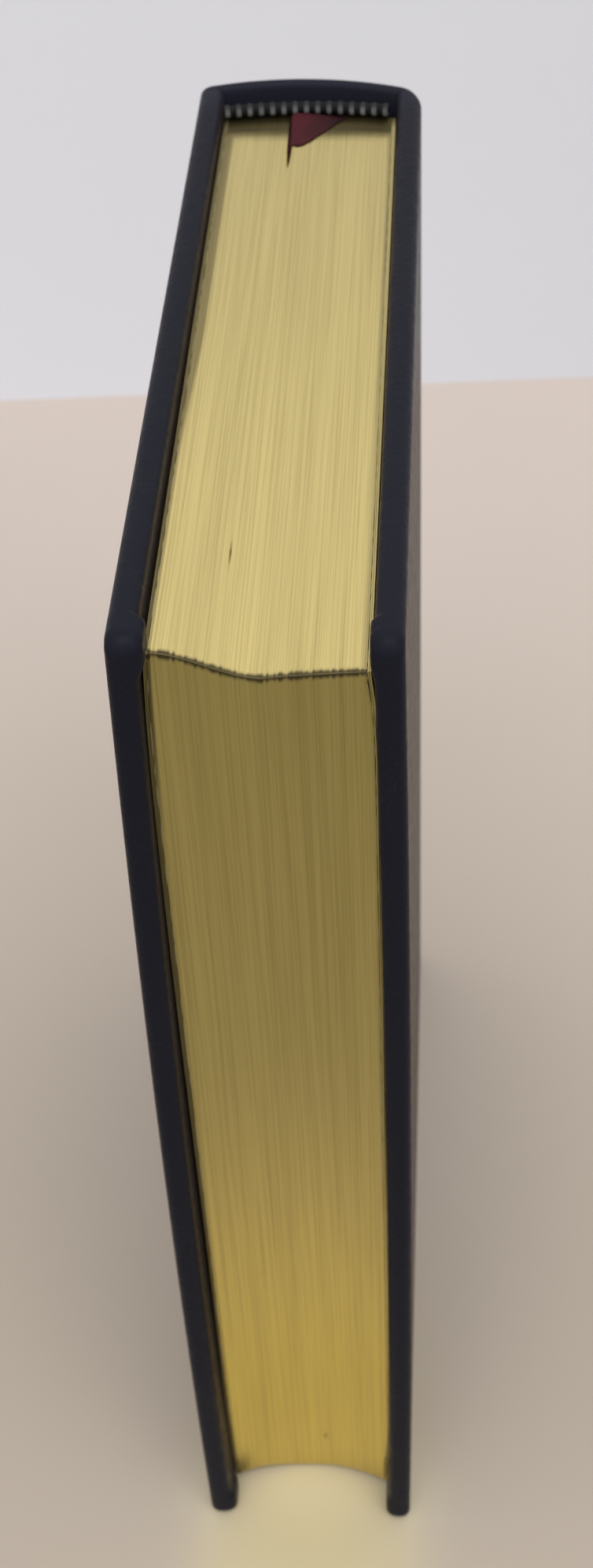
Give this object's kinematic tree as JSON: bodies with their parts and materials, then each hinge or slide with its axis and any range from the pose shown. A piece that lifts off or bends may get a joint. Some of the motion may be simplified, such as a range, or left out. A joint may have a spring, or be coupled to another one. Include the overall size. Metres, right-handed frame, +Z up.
{
  "type": "leather-bound book",
  "caption": "Upright hardback book in dark leather with hinged covers, rounded spine, gilt page edges, striped head band and ribbon marker.",
  "frame": {"origin": "on the floor under the middle of the case's thickness and depth", "axes": "+Z up along the height, +Y towards the spine, +X from the front cover to the back cover"},
  "size_m": [0.0406, 0.1608, 0.235],
  "materials": {
    "gilt_pages": "gilt edges, semi-gloss",
    "endpaper": "matt",
    "lining": "matt",
    "dark_silk": "silk",
    "white_silk": "silk",
    "ribbon": "satin",
    "leather": "fine grain, semi-matt",
    "card": "matt",
    "board": "matt"
  },
  "bodies": {
    "book_block": {"text_block": "gilt_pages", "front_flyleaf": "endpaper", "back_flyleaf": "endpaper", "spine_lining": "lining", "head_band": "dark_silk", "head_band_white_silk": "white_silk", "tail_band": "dark_silk", "tail_band_white_silk": "white_silk", "ribbon_marker": "ribbon", "spine_leather": "leather", "spine_inlay": "card"},
    "front_cover": {"front_board": "board", "front_cover_leather": "leather", "front_pastedown": "endpaper"},
    "back_cover": {"back_board": "board", "back_cover_leather": "leather", "back_pastedown": "endpaper"}
  },
  "joints": [
    {"name": "front_cover_hinge", "type": "hinge", "parent": "book_block", "child": "front_cover", "pos_m": [-0.02045, 0.06975, 0], "axis": [0, 0, -1], "range_deg": [0, 180]},
    {"name": "back_cover_hinge", "type": "hinge", "parent": "book_block", "child": "back_cover", "pos_m": [0.02045, 0.06975, 0], "axis": [0, 0, 1], "range_deg": [0, 180]}
  ]
}
